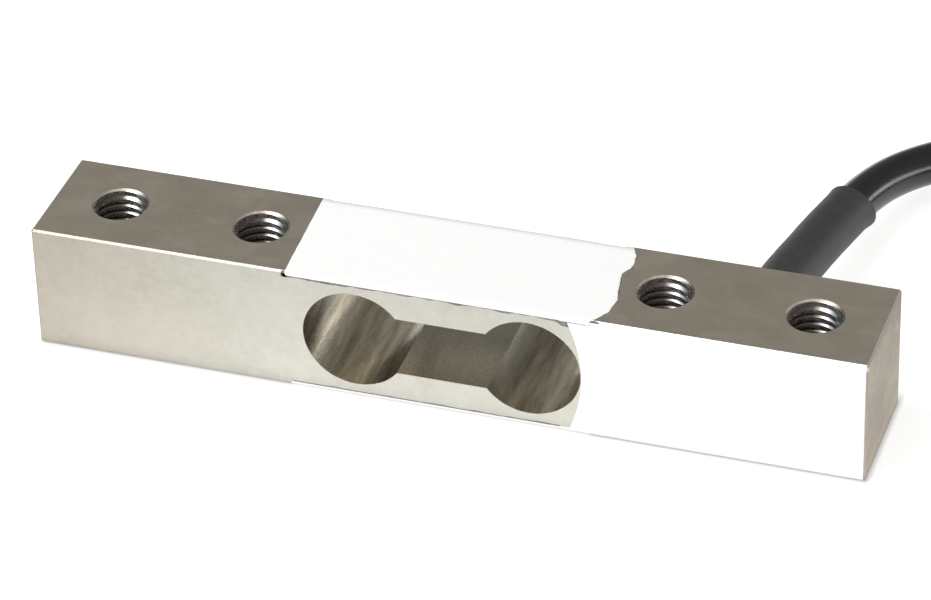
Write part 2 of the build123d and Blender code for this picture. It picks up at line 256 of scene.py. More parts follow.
def sleeve_on(name, line, stations, shape=None, slant=None, around=48):
    """Closed tube along a line from stations of (distance, radius). A shape adds to the radius,
    and a slant moves a point along the line."""
    lengths = line_lengths(line)
    rings = []
    for distance, radius in stations:
        centre, ahead = place_on(line, lengths, distance)
        side = ahead.cross(Vector((0, 0, 1))).normalized()
        over = side.cross(ahead)
        ring = []
        for step in range(around):
            angle = 2 * pi * step / around
            reach = radius + (shape(distance, angle) if shape else 0.0)
            along = slant(distance, angle) if slant else 0.0
            ring.append(centre + reach * (cos(angle) * side + sin(angle) * over) + along * ahead)
        rings.append(ring)
    return loft(name, rings)


# Node materials
class Maker:
    """Short calls for the nodes of one material."""

    def __init__(self, name, **sockets):
        self.material = bpy.data.materials.new(name)
        self.material.use_nodes = True
        self.tree = self.material.node_tree
        self.shader = self.tree.nodes["Principled BSDF"]
        for socket, value in sockets.items():
            self.shader.inputs[socket.replace("_", " ")].default_value = value
        coordinates = self.add("ShaderNodeTexCoord")
        self.position = coordinates.outputs["Object"]

    def add(self, kind, **settings):
        node = self.tree.nodes.new(kind)
        for setting, value in settings.items():
            setattr(node, setting, value)
        return node

    def feed(self, socket, value):
        """Link an output, or set a number or colour."""
        if isinstance(value, bpy.types.NodeSocket):
            self.tree.links.new(value, socket)
        else:
            socket.default_value = value

    def shade(self, socket, value):
        self.feed(self.shader.inputs[socket], value)

    def math(self, operation, a, b=0.0):
        node = self.add("ShaderNodeMath", operation=operation)
        self.feed(node.inputs[0], a)
        self.feed(node.inputs[1], b)
        return node.outputs[0]

    def reach(self, a, b):
        """Length of a flat step."""
        squares = self.math("ADD", self.math("POWER", a, 2.0), self.math("POWER", b, 2.0))
        return self.math("SQRT", squares)

    def dim(self, colour, factor):
        """Colour made darker or lighter by a factor."""
        node = self.add("ShaderNodeVectorMath", operation="SCALE")
        self.feed(node.inputs[0], colour)
        self.feed(node.inputs["Scale"], factor)
        return node.outputs[0]

    def axes(self, vector=None):
        node = self.add("ShaderNodeSeparateXYZ")
        self.feed(node.inputs[0], vector or self.position)
        return node.outputs

    def grain(self, size, stretch=(1, 1, 1), detail=3.0, rough=0.5, twist=0.0):
        """Noise with features of about this size in millimetres, drawn out along the axes."""
        mapping = self.add("ShaderNodeMapping")
        self.feed(mapping.inputs["Vector"], self.position)
        mapping.inputs["Scale"].default_value = [1 / (MM * size * s) for s in stretch]
        texture = self.add("ShaderNodeTexNoise")
        self.feed(texture.inputs["Vector"], mapping.outputs[0])
        texture.inputs["Scale"].default_value = 1.0
        texture.inputs["Detail"].default_value = detail
        texture.inputs["Roughness"].default_value = rough
        texture.inputs["Distortion"].default_value = twist
        return texture.outputs["Fac"]

    def spread(self, value, low, high, out_low=0.0, out_high=1.0):
        """Map a range to another, and stay inside it."""
        node = self.add("ShaderNodeMapRange")
        for socket, number in zip(node.inputs, (value, low, high, out_low, out_high)):
            self.feed(socket, number)
        return node.outputs[0]

    def mix(self, share, a, b, blend="MIX"):
        node = self.add("ShaderNodeMix", data_type="RGBA", blend_type=blend)
        self.feed(node.inputs[0], share)
        for socket, value in ((node.inputs[6], a), (node.inputs[7], b)):
            self.feed(socket, value if isinstance(value, bpy.types.NodeSocket) else (*value, 1.0))
        return node.outputs[2]

    def two_tone(self, grain, tones, low=0.3, high=0.7):
        """Two colours, mixed by a grain."""
        return self.mix(self.spread(grain, low, high), *tones)

    def table(self, value, low, high, stops):
        """Number read from a table of (share of the range, value up to 2)."""
        node = self.add("ShaderNodeValToRGB")
        self.feed(node.inputs[0], self.spread(value, low, high))
        marks = node.color_ramp.elements
        marks[0].position, marks[1].position = stops[0][0], stops[-1][0]
        for place, _ in stops[1:-1]:
            marks.new(place)
        for mark, (_, level) in zip(marks, stops):
            mark.color = (level / 2, level / 2, level / 2, 1)
        return self.math("MULTIPLY", self.axes(node.outputs[0])[0], 2.0)

    def bump(self, height, strength, depth, over=None):
        node = self.add("ShaderNodeBump")
        node.inputs["Strength"].default_value = strength
        node.inputs["Distance"].default_value = depth * MM
        self.feed(node.inputs["Height"], height)
        if over:
            self.feed(node.inputs["Normal"], over)
        return node.outputs[0]


# Colours of the milled aluminium. Two in a pair are mixed by its grain.
SIDE_TONES = ((0.47, 0.445, 0.39), (0.53, 0.52, 0.465))
SIDE_PATCH = (0.55, 0.53, 0.465)
SIDE_SPECK = (0.38, 0.35, 0.31)
# Painted warm reflection towards the load end, cooler towards the cable end
SIDE_REFLECTION_TINTS = ((0.965, 0.925, 0.9), (0.995, 1.01, 1.025))
ABOVE_LABEL = (0.86, 0.845, 0.84)
# Painted shade on the ends' edges, and more where they meet the top and bottom
END_EDGE_SHADE = (0.67, 0.625, 0.615)
LEVEL_EDGE_SHADE = (0.75, 0.79, 0.74)
TOP_TONES = ((0.62, 0.565, 0.47), (0.68, 0.625, 0.525))
TOP_SPECK = (0.5, 0.455, 0.38)
END_TONES = ((0.336, 0.281, 0.208), (0.396, 0.332, 0.246))
BORE_TONES = ((0.33, 0.295, 0.22), (0.63, 0.565, 0.445))
SLOT_TONES = ((0.38, 0.362, 0.302), (0.46, 0.438, 0.368))
# Painted warm and cool reflection tints of the threads, and painted light on their upright walls
THREAD_TONES = ((0.54, 0.46, 0.38), (0.5, 0.51, 0.53))
THREAD_WALL = (0.95, 0.87, 0.79)
RIM_TONES = ((0.42, 0.37, 0.31), (0.52, 0.46, 0.39))

# Painted light and shade, as (share of a range, factor): up the end faces, and along the bar across
# the bores, the threads and the holes' rims
END_LEVELS = (
    (0.0, 1.18), (0.08, 1.15), (0.18, 0.93), (0.32, 0.88), (0.5, 0.85), (0.64, 0.88), (0.78, 1.12),
    (0.87, 1.26), (1.0, 1.36),
)
LEFT_BORE_LEVELS = (
    (0.0, 0.36), (0.01, 0.4), (0.045, 0.7), (0.095, 1.05), (0.17, 0.75), (0.25, 0.78), (0.35, 0.92),
    (0.45, 1.1), (0.55, 1.4), (0.65, 1.25), (0.75, 0.75), (1.0, 0.7),
)
RIGHT_BORE_LEVELS = (
    (0.0, 0.8), (0.1, 0.46), (0.17, 0.4), (0.25, 0.52), (0.35, 0.7), (0.45, 0.76), (0.55, 1.05),
    (0.65, 1.35), (0.75, 1.6), (0.84, 1.8), (0.92, 1.0),
)
THREAD_LEVELS = (
    (0.0, 0.15), (0.2, 0.2), (0.36, 0.32), (0.45, 1.1), (0.6, 1.4), (0.67, 0.4), (0.75, 0.16),
    (1.0, 0.1),
)
RIM_LEVELS = (
    (0.0, 1.0), (0.1, 1.15), (0.22, 1.7), (0.35, 1.5), (0.5, 1.15), (0.62, 1.0), (0.78, 0.6),
    (0.9, 0.4), (1.0, 0.4),
)

# How much a face has to look along an axis: on a flat face, an end's edge, its upper or lower
# edge, and the most on a thread's upright walls
FLAT = 0.9
END_EDGE = 0.5
LEVEL_EDGE = 0.3
UPRIGHT = 0.35

# How far past a bore's, thread's or mouth's wall its colour reaches
BORE_MARGIN = 0.04
THREAD_MARGIN = 0.02
MOUTH_MARGIN = 0.01


class MilledAluminium(Maker):
    """Milled aluminium: cloudy faces, drawn streaks in the bores, and painted light and shade on
    the faces, edges, bore walls, threads and the holes' rims, which makes the bore walls dark and
    the threads duller. A point's place on the bar, and which way its face looks, tell which of
    these it is on."""

    def __init__(self):
        super().__init__("milled_aluminium", Metallic=1.0)
        self.x, self.y, self.z = self.axes()
        normal = self.add("ShaderNodeNewGeometry").outputs["True Normal"]
        normal_x, _, normal_z = self.axes(normal)
        self.faces_end = self.math("ABSOLUTE", normal_x)
        self.faces_up = self.math("ABSOLUTE", normal_z)
        self.span = self.math("ABSOLUTE", self.x)
        side = self.math("SIGN", self.x)
        self.on_right = self.math("GREATER_THAN", self.x, 0.0)

        across_bore = self.math("SUBTRACT", self.span, BORE_X * MM)
        above_bore = self.math("SUBTRACT", self.z, HALF_HEIGHT * MM)
        from_bore = self.reach(across_bore, above_bore)
        in_bore = self.math("LESS_THAN", from_bore, (BORE_RADIUS + BORE_MARGIN) * MM)
        between = self.math("LESS_THAN", self.span, BORE_X * MM)
        height = self.math("ABSOLUTE", above_bore)
        self.slot_level = self.math("LESS_THAN", height, (SLOT_HEIGHT / 2 + BORE_MARGIN) * MM)
        self.bored = self.math("MAXIMUM", in_bore, self.math("MULTIPLY", between, self.slot_level))
        self.along_bore = self.math("MULTIPLY", across_bore, side)

        to_group = self.math("SUBTRACT", self.span, HOLE_GROUP_X * MM)
        to_middle = self.math("MULTIPLY", self.math("SIGN", to_group), HOLE_HALF_PITCH * MM)
        to_hole = self.math("SUBTRACT", to_group, to_middle)
        from_hole = self.reach(to_hole, self.y)
        self.tapped = self.math("LESS_THAN", from_hole, (THREAD_RADIUS + THREAD_MARGIN) * MM)
        self.mouth = self.math("LESS_THAN", from_hole, (THREAD_MOUTH + MOUTH_MARGIN) * MM)
        self.along_hole = self.math("MULTIPLY", to_hole, side)

        self.clouds = self.grain(3.2, (1.5, 1, 1), detail=4.0, rough=0.6, twist=0.6)
        self.mottle = self.grain(1.1, detail=4.0, rough=0.65)
        self.specks = self.grain(0.3, detail=4.0, rough=0.7)

    def side_colour(self):
        """Front, rear and edges, with painted light and shade: darker and pinker towards the load
        end, brighter low down, darker along the foot and on the ends' edges.
        """
        patches = self.grain(7.0, detail=2.0)
        tone = self.two_tone(self.mottle, SIDE_TONES)
        tone = self.mix(self.spread(patches, 0.35, 0.7, 0.0, 0.6), tone, SIDE_PATCH)
        tone = self.mix(self.spread(self.specks, 0.55, 0.75, 0.0, 0.2), tone, SIDE_SPECK)
        load_end = -HALF_LENGTH * MM
        # Painted shade and a painted warm reflection towards the load end
        tone = self.dim(tone, self.spread(self.x, load_end, -14 * MM, 0.88, 1.06))
        reflection_tint = self.mix(self.spread(self.x, load_end, -16 * MM), *SIDE_REFLECTION_TINTS)
        tone = self.mix(1.0, tone, reflection_tint, "MULTIPLY")
        # Painted floor light, brighter low down, and painted shade along the foot
        tone = self.dim(tone, self.spread(self.z, 0.0, BAR_HEIGHT * MM, 1.11, 0.925))
        tone = self.dim(tone, self.spread(self.z, 0.0, 0.5 * MM, 0.86, 1.0))

        above_label = self.spread(self.z, 11.9 * MM, 12.2 * MM)
        past_coat = self.spread(self.x, 12 * MM, 15 * MM)
        tone = self.mix(self.math("MULTIPLY", above_label, past_coat), tone, ABOVE_LABEL)
        # Painted shade on the edges at the ends, more where they meet the top and bottom
        end_edge = self.math("GREATER_THAN", self.faces_end, END_EDGE)
        tone = self.mix(end_edge, tone, END_EDGE_SHADE, "MULTIPLY")
        level_edge = self.math("GREATER_THAN", self.faces_up, LEVEL_EDGE)
        level_edge = self.math("MULTIPLY", end_edge, level_edge)
        return self.mix(level_edge, tone, LEVEL_EDGE_SHADE, "MULTIPLY")

    def top_colour(self):
        speckled = self.spread(self.specks, 0.45, 0.75, 0.0, 0.4)
        return self.mix(speckled, self.two_tone(self.clouds, TOP_TONES), TOP_SPECK)

    def end_colour(self):
        # Painted light and shade up the end face: lighter near its top and bottom
        level = self.table(self.z, 0.0, BAR_HEIGHT * MM, END_LEVELS)
        return self.dim(self.two_tone(self.mottle, END_TONES), level)

    def bore_colour(self):
        """Bores and slot, with streaks drawn from front to rear, painted light and shade across
        each bore, and darker towards the front face.
        """
        streaks = self.grain(0.8, (1, 9, 1), detail=4.0, rough=0.65, twist=0.3)
        radius = BORE_RADIUS * MM
        left = self.table(self.along_bore, -radius, radius, LEFT_BORE_LEVELS)
        right = self.table(self.along_bore, -radius, radius, RIGHT_BORE_LEVELS)
        left_to_right = self.math("MULTIPLY", self.on_right, self.math("SUBTRACT", right, left))
        tone = self.two_tone(streaks, BORE_TONES, 0.35, 0.65)
        tone = self.dim(tone, self.math("ADD", left, left_to_right))

        slot = self.spread(self.span, 4.3 * MM, 5.8 * MM, 1.0, 0.0)
        slot = self.math("MULTIPLY", slot, self.math("MAXIMUM", self.on_right, self.slot_level))
        slot_tone = self.two_tone(self.clouds, SLOT_TONES)
        tone = self.mix(self.math("MULTIPLY", slot, 0.8), tone, slot_tone)
        return self.dim(tone, self.spread(self.y, -6.3 * MM, -2 * MM, 0.8, 1.0))

    def thread_colour(self):
        """Threads: brightest a little right of a hole's middle and darker deep down, as painted
        light and shade, with painted warm and cool reflection tints and painted light on the
        upright walls.
        """
        radius = THREAD_RADIUS * MM
        tone = self.mix(self.spread(self.along_hole, -1 * MM, 0.4 * MM), *THREAD_TONES)
        tone = self.dim(tone, self.table(self.along_hole, -radius, radius, THREAD_LEVELS))
        tone = self.mix(self.math("LESS_THAN", self.faces_up, UPRIGHT), tone, THREAD_WALL)
        return self.dim(tone, self.spread(self.z, 9.8 * MM, 12.2 * MM, 0.8, 1.25))

    def rim_colour(self):
        # Painted light along each rim, brightest a little left of its middle and darker to its
        # right
        radius = THREAD_MOUTH * MM
        level = self.table(self.along_hole, -radius, radius, RIM_LEVELS)
        return self.dim(self.two_tone(self.specks, RIM_TONES, 0.4, 0.7), level)

    def finish(self):
        """Set the shader's colour, roughness and relief; gives the material."""
        on_top = self.math("GREATER_THAN", self.faces_up, FLAT)
        on_end = self.math("GREATER_THAN", self.faces_end, FLAT)
        colour = self.mix(on_top, self.side_colour(), self.top_colour())
        colour = self.mix(on_end, colour, self.end_colour())
        colour = self.mix(self.bored, colour, self.bore_colour())
        colour = self.mix(self.mouth, colour, self.rim_colour())
        colour = self.mix(self.tapped, colour, self.thread_colour())
        self.shade("Base Color", colour)

        smoother = 0.08
        roughness = self.spread(self.clouds, 0.3, 0.7, 0.34, 0.42)
        roughness = self.math("ADD", roughness, self.spread(self.specks, 0.4, 0.7, -0.04, 0.06))
        for mask in (self.tapped, self.bored):
            roughness = self.math("SUBTRACT", roughness, self.math("MULTIPLY", mask, smoother))
        self.shade("Roughness", roughness)
        brushed = self.bump(self.grain(0.12, (14, 14, 1), detail=2.0), 0.25, 0.01)
        self.shade("Normal", self.bump(self.specks, 0.25, 0.03, brushed))
        return self.material


def rubbery(name, colour, lighter, size, roughness, depth, rear_shade=1.0, **sockets):
    """Soft or moulded plastic surface; its unevenness has this size and depth in millimetres. A
    coat can carry painted shade along its rear edge, darker there by a factor."""
    make = Maker(name, **sockets)
    grain = make.grain(size, detail=4.0, rough=0.6)
    broad = make.grain(size * 9, detail=2.0)
    tone = make.two_tone(grain, (colour, lighter))
    tone = make.mix(make.spread(broad, 0.3, 0.7, 0.0, 0.5), tone, colour)
    # Painted shade along the rear edge
    if rear_shade < 1.0:
        tone = make.dim(tone, make.spread(make.axes()[1], 5.3 * MM, 6.2 * MM, 1.0, rear_shade))
    make.shade("Base Color", tone)
    make.shade("Roughness", make.spread(grain, 0.3, 0.7, roughness - 0.05, roughness + 0.07))
    make.shade("Normal", make.bump(grain, 0.4, depth, make.bump(broad, 0.4, depth * 3)))
    return make.material


def metal(name, colour, darker, size, roughness):
    """Small metal piece with a worn, uneven surface."""
    make = Maker(name, Metallic=1.0)
    grain = make.grain(size, detail=3.0, rough=0.6)
    make.shade("Base Color", make.two_tone(grain, (colour, darker)))
    make.shade("Roughness", make.spread(grain, 0.3, 0.7, roughness, roughness + 0.15))
    make.shade("Normal", make.bump(grain, 0.3, size * 0.08))
    return make.material


# The silicone has painted shade along its rear edge.
# Name, darker and lighter colour, size of the unevenness, roughness and depth
silicone = rubbery(
    "silicone", (0.96, 0.965, 0.96), (0.985, 0.985, 0.98), 0.5, 0.5, 0.012, rear_shade=0.72
)
# Dark lines of painted shade along the coats' edges
edge_shade = rubbery("painted_edge_shade", (0.1, 0.09, 0.087), (0.38, 0.355, 0.345), 0.4, 0.5, 0.004)
dark_edge_shade = rubbery("dark_edge_shade", (0.085, 0.07, 0.067), (0.21, 0.18, 0.17), 0.25, 0.5, 0.004)
label_film = rubbery("label_film", (0.93, 0.93, 0.93), (0.955, 0.955, 0.955), 0.25, 0.38, 0.002)
polyimide = rubbery("polyimide", (0.62, 0.3, 0.05), (0.7, 0.38, 0.08), 0.3, 0.3, 0.003)
potting = rubbery("potting", (0.8, 0.78, 0.72), (0.86, 0.84, 0.79), 0.4, 0.45, 0.01)
jacket = rubbery(
    "cable_jacket", (0.008, 0.008, 0.008), (0.012, 0.0115, 0.011), 0.3, 0.2, 0.0006,
    Specular_IOR_Level=0.42
)
shrink = rubbery("heat_shrink", (0.026, 0.026, 0.027), (0.038, 0.038, 0.039), 0.35, 0.55, 0.02)
tie_plastic = rubbery("tie_plastic", (0.02, 0.02, 0.02), (0.03, 0.03, 0.03), 0.2, 0.5, 0.006)
red = rubbery("red_insulation", (0.42, 0.012, 0.01), (0.5, 0.02, 0.014), 0.25, 0.3, 0.004)
black = rubbery("black_insulation", (0.012, 0.012, 0.012), (0.02, 0.02, 0.02), 0.25, 0.3, 0.004)
green = rubbery("green_insulation", (0.01, 0.16, 0.035), (0.014, 0.2, 0.05), 0.25, 0.3, 0.004)
white = rubbery("white_insulation", (0.75, 0.75, 0.72), (0.82, 0.82, 0.79), 0.25, 0.3, 0.004)

# Name, lighter and darker colour, size of the wear and roughness
foil = metal("gauge_foil", (0.66, 0.58, 0.46), (0.56, 0.48, 0.38), 0.3, 0.3)
copper = metal("copper", (0.86, 0.5, 0.36), (0.76, 0.4, 0.27), 0.25, 0.25)
solder = metal("solder", (0.72, 0.72, 0.72), (0.6, 0.6, 0.61), 0.2, 0.2)
lacquered = metal("lacquered_wire", (0.6, 0.24, 0.1), (0.5, 0.18, 0.08), 0.3, 0.22)
tinned = metal("tinned_copper", (0.78, 0.77, 0.74), (0.62, 0.6, 0.57), 0.15, 0.28)
bare_aluminium = MilledAluminium().finish()

NODE_MATERIALS = {
    "spring_element": bare_aluminium,
    "silicone_upper": silicone,
    "silicone_lower": silicone,
    "blank_label": label_film,
    "cable_potting": potting,
    "core_splices": solder,
    "coil_tie": tie_plastic,
    "tinned_tips": tinned,
    "cable_core_red": red,
    "cable_core_black": black,
    "cable_core_green": green,
    "cable_core_white": white,
}
for place_name in ("upper", "lower"):
    NODE_MATERIALS[f"bridge_wires_{place_name}"] = lacquered
    NODE_MATERIALS[f"terminal_film_{place_name}"] = polyimide
    NODE_MATERIALS[f"terminal_pads_{place_name}"] = copper
    NODE_MATERIALS[f"jumper_wires_{place_name}"] = copper
    NODE_MATERIALS[f"solder_joints_{place_name}"] = solder
    for end_name in ("load_end", "cable_end"):
        NODE_MATERIALS[f"gauge_backing_{end_name}_{place_name}"] = polyimide
        NODE_MATERIALS[f"gauge_grid_{end_name}_{place_name}"] = foil


def dress(piece, material):
    """Give a piece one material."""
    piece.data.materials.clear()
    piece.data.materials.append(material)


for node_name, material in NODE_MATERIALS.items():
    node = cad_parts[node_name]
    if not node.material_slots:
        node.data.materials.append(material)
    for material_slot in node.material_slots:
        material_slot.material = material
dress(cable, jacket)


# Threads in the four tapped holes
THREAD_PITCH = 0.8
THREAD_CREST = 2.16
THREAD_STEPS = 40
THREAD_START = 0.3
THREAD_END = BAR_HEIGHT - 0.16
THREAD_FADE_IN = 14
THREAD_FADE_OUT = 22
MOUTH_START = 12.5


def thread_ridge(name, x):
    """Helical ridge of one tapped hole, faded out at both mouths."""
    steps = int((THREAD_END - THREAD_START) / THREAD_PITCH * THREAD_STEPS)
    wall = THREAD_RADIUS + 0.03
    sunk = THREAD_RADIUS - 0.02
    rings = []
    for step in range(steps + 1):
        angle = 2 * pi * step / THREAD_STEPS
        z = THREAD_START + THREAD_PITCH * step / THREAD_STEPS
        fullness = min(1.0, step / THREAD_FADE_IN, (steps - step) / THREAD_FADE_OUT)
        crest = sunk - (sunk - THREAD_CREST) * fullness
        ring = []
        for radius, rise in (
            (wall, -0.3),
            (crest + 0.02, -0.12),
            (crest, -0.07),
            (crest, 0.07),
            (crest + 0.02, 0.12),
            (wall, 0.3),
        ):
            height = z + rise * (0.3 + 0.7 * fullness)
            radius += max(0.0, height - MOUTH_START)
            ring.append((x + radius * cos(angle), radius * sin(angle), height))
        rings.append(ring)
    ridge = loft(name, rings, 50)
    dress(ridge, bare_aluminium)


inner_hole = HOLE_GROUP_X - HOLE_HALF_PITCH
outer_hole = HOLE_GROUP_X + HOLE_HALF_PITCH
for hole_number, hole_x in enumerate((-outer_hole, -inner_hole, inner_hole, outer_hole)):
    thread_ridge(f"thread_{hole_number + 1}", hole_x)


# Silicone coat, laid on by hand: straight at the load end, torn at the cable end, drawn a little
# down the front face and rounded off at the rear
COAT_START = -14.9
COAT_START_SLANT = -0.6
COAT_TORN_EDGE = [
    (-6.35, 14.15),
    (-6.05, 14.55),
    (-4.6, 15.5),
    (-2.55, 15.72),
    (-0.5, 15.3),
    (1.8, 14.9),
    (2.65, 15.45),
    (3.5, 15.6),
    (4.95, 15.35),
    (6.05, 14.8),
    (6.35, 14.75),
]
COAT_TOP = 12.78
COAT_LIP = 12.2
COAT_RISE = COAT_TOP - COAT_LIP
COAT_HANGS_FROM = 11.2
COAT_HANGS_BY = 0.16
COAT_FRONT = ((0.0, 0.0), (0.12, 0.05), (0.3, 0.06), (0.45, 0.03))
COAT_FRONT_ROUND = 0.35
COAT_REAR_ROUND = 1.2
COAT_REAR_DROP = 0.33
COAT_INSET = 0.03
COAT_SKIN = 0.012
COAT_END_ROUND = 0.07
COAT_STATIONS = 110


def ragged(a, b, c, size):
    """Repeatable unevenness between -1 and 1."""
    return noise.noise(Vector((a / size, b / size, c / size)))


def interpolate(table, place):
    """Value of a table of (place, value) at a place."""
    if place <= table[0][0]:
        return table[0][1]
    for (a, low), (b, high) in zip(table, table[1:]):
        if place <= b:
            return low + (high - low) * (place - a) / (b - a)
    return table[-1][1]


def coat_limits(y):
    """Where the upper coat starts and ends along the bar at one place across it."""
    share = (y + HALF_WIDTH) / BAR_WIDTH
    start = COAT_START + COAT_START_SLANT * share + 0.03 * ragged(y, 3.1, 0, 0.9)
    end = interpolate(COAT_TORN_EDGE, y)
    end += 0.07 * ragged(y, 0, 5.2, 0.5) + 0.04 * ragged(y, 0, 9.7, 0.17)
    return start, end


def coat_lip(x):
    """Height of the coat's lower edge on the front face; it hangs lower at the torn end."""
    edge = COAT_LIP + 0.05 * ragged(x, 0, 1.7, 1.6) + 0.03 * ragged(x, 0, 4.2, 0.5)
    if x > COAT_HANGS_FROM:
        edge -= COAT_HANGS_BY * min(1.0, (x - COAT_HANGS_FROM) / 0.3)
    return edge


def coat_section():
    """Line over the coat from front to rear: places across the bar and heights over the lip. The
    front is given as (height, how far it stands out)."""
    section = [(-HALF_WIDTH - out, rise) for rise, out in COAT_FRONT]
    shoulder = COAT_FRONT[-1][0]
    steps = 7
    for i in range(1, steps + 1):
        turn = pi / 2 * i / steps
        section.append((
            -HALF_WIDTH + COAT_FRONT_ROUND * (1 - cos(turn)),
            shoulder + (COAT_RISE - shoulder) * sin(turn),
        ))
    flat = BAR_WIDTH - COAT_FRONT_ROUND - COAT_REAR_ROUND
    steps = 56
    for i in range(1, steps):
        section.append((-HALF_WIDTH + COAT_FRONT_ROUND + flat * i / steps, COAT_RISE))
    steps = 11
    for i in range(steps + 1):
        turn = pi / 2 * (1 - i / steps)
        section.append((
            HALF_WIDTH - COAT_REAR_ROUND * (1 - cos(turn)),
            COAT_RISE - COAT_REAR_DROP * (1 - sin(turn)),
        ))
    section.append((HALF_WIDTH + 0.02, 0.1))
    section.append((HALF_WIDTH, 0.0))
    return section


def under_the_coat(x, y):
    """Height of what the coat lies on: the bar's top, its edge or the relief with the gauges."""
    if RELIEF_LOAD_SIDE <= x <= RELIEF_CABLE_SIDE:
        return BAR_HEIGHT - RELIEF_DEPTH + 0.005
    if abs(y) > HALF_WIDTH - EDGE_CHAMFER:
        return BAR_HEIGHT - (abs(y) - HALF_WIDTH + EDGE_CHAMFER)
    return BAR_HEIGHT + 0.004


def upper_coat():
    """Coat over the upper gauges."""
    section = coat_section()
    rings = []
    for station in range(COAT_STATIONS + 1):
        share = 0.5 - 0.5 * cos(pi * station / COAT_STATIONS)
        over = []
        under = []
        for y, rise in section:
            start, end = coat_limits(y)
            x = start + (end - start) * share
            fullness = 1 - exp(-min(x - start, end - x) / COAT_END_ROUND)
            lip = coat_lip(x)
            height = lip + (COAT_TOP - lip) * rise / COAT_RISE
            height += 0.012 * ragged(x, y, 0, 2.4) * fullness
            if height > BAR_HEIGHT:
                height = BAR_HEIGHT + (height - BAR_HEIGHT) * (0.25 + 0.75 * fullness)
            floor = under_the_coat(x, y)
            height = max(height, floor + COAT_SKIN)
            inner = min(max(y, -HALF_WIDTH + COAT_INSET), HALF_WIDTH - COAT_INSET)
            over.append((x, y, height))
            under.append((x, inner, min(floor, height - COAT_SKIN)))
        rings.append(over + under[::-1])
    coat = loft("silicone_coat_upper", rings, 60, strip_ends=True)
    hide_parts("silicone_upper")
    dress(coat, silicone)


upper_coat()


# Painted shade past the coats' edges, as dark lines so thin that they lie on the metal
SHADE_LINE_SUNK = 0.02
SHADE_LINE_RAISED = 0.012
SHADE_LINE_HIDDEN = 0.12
SHADE_LINE_FRONT_TOP = 12.5
# Spots of painted shade at both ends of the coat's front edge, as (middle, reach)
SHADE_SPOTS = ((-14.95, 0.33), (14.7, 0.5))


def painted_shade_line(name, rows, material):
    """Thin dark line of painted shade from pairs of places; a place is two points, one under and
    one over the metal's surface."""
    line = loft(name, [[a, raised_a, raised_b, b] for (a, raised_a), (b, raised_b) in rows], 30)
    dress(line, material)


def top_place(x, y):
    return (x, y, BAR_HEIGHT - SHADE_LINE_SUNK), (x, y, BAR_HEIGHT + SHADE_LINE_RAISED)


def front_place(x, z):
    return (x, -HALF_WIDTH + SHADE_LINE_SUNK, z), (x, -HALF_WIDTH - SHADE_LINE_RAISED, z)


def edge_place(x, rise):
    """Place on the chamfer between top and front, by its height over the chamfer's foot."""
    y = -HALF_WIDTH + rise
    z = BAR_HEIGHT - EDGE_CHAMFER + rise
    return (x, y + SHADE_LINE_SUNK, z - SHADE_LINE_SUNK), (x, y - SHADE_LINE_RAISED, z + SHADE_LINE_RAISED)


def steps_between(low, high, count):
    """Evenly spaced numbers with both ends."""
    return [low + (high - low) * i / count for i in range(count + 1)]


def painted_shade_lines():
    """Where painted shade lies past the coats: along the upper coat's torn end, under its front
    edge, along the lower coat's edge and in spots at both ends of that front edge."""
    # Painted shade along the coat's torn end
    rows = []
    for y in steps_between(-6.0, 6.1, 120):
        edge = coat_limits(y)[1]
        width = 0.05 + 0.16 * max(0.0, ragged(y, 2.2, 8.1, 0.9)) + 0.05 * ragged(y, 1.2, 3.1, 0.2)
        rows.append((top_place(edge - SHADE_LINE_HIDDEN, y), top_place(edge + max(0.02, width), y)))
    painted_shade_line("painted_shade_torn_edge", rows, dark_edge_shade)

    # Painted shade under the coat's front edge, wider near its cable end
    rows = []
    for x in steps_between(-15.3, 13.9, 240):
        edge = coat_lip(x)
        width = 0.26 * max(0.0, ragged(x, 6.4, 2.3, 1.4) + 0.22) + 0.05 * ragged(x, 4.4, 1.9, 0.3)
        width += 0.2 * max(0.0, 1 - abs(x - 12.4) / 1.3)
        top = SHADE_LINE_FRONT_TOP if x < RELIEF_LOAD_SIDE else edge + SHADE_LINE_HIDDEN
        bottom = min(edge, top - 0.02) - max(0.0, width)
        rows.append((front_place(x, top), front_place(x, bottom)))
    painted_shade_line("painted_shade_front_edge", rows, edge_shade)

    # Painted shade along the lower coat's edge on the front
    rows = []
    for x in steps_between(-14.7, 11.3, 180):
        width = 0.07 + 0.12 * max(0.0, ragged(x, 1.4, 7.3, 1.3))
        rows.append((front_place(x, RELIEF_DEPTH - 0.03), front_place(x, RELIEF_DEPTH + width)))
    painted_shade_line("painted_shade_lower_edge", rows, edge_shade)

    # Spots of painted shade on the chamfer at both ends of the coat's front edge
    for number, (middle, reach) in enumerate(SHADE_SPOTS):
        rows = []
        for share in steps_between(-1, 1, 12):
            swell = sqrt(max(0.0, 1 - share ** 2))
            x = middle + reach * share
            rows.append((edge_place(x, 0.03 + 0.13 * swell), edge_place(x, 0.02 - 0.015 * swell)))
        painted_shade_line(f"painted_shade_spot_{number + 1}", rows, dark_edge_shade)

    # A spot of painted shade on the front at the coat's load end corner
    rows = []
    for share in steps_between(-1, 1, 16):
        x = COAT_START + 0.36 * share
        swell = sqrt(max(0.0, 1 - share ** 2)) + 0.2 * ragged(x, 0.4, 0, 0.1)
        bottom = SHADE_LINE_FRONT_TOP - max(0.0, 0.42 * swell)
        rows.append((front_place(x, SHADE_LINE_FRONT_TOP + 0.02), front_place(x, bottom)))
    painted_shade_line("painted_shade_front_spot", rows, dark_edge_shade)


painted_shade_lines()


# Sleeves on the cable, as (distance along it, radius). Each has closed ends that reach a little
# into the jacket.
SLEEVE_STATIONS = 57
END_SLEEVE_WALL = 0.35
END_SLEEVE_STEP = 0.5
ROUNDED = 0.12


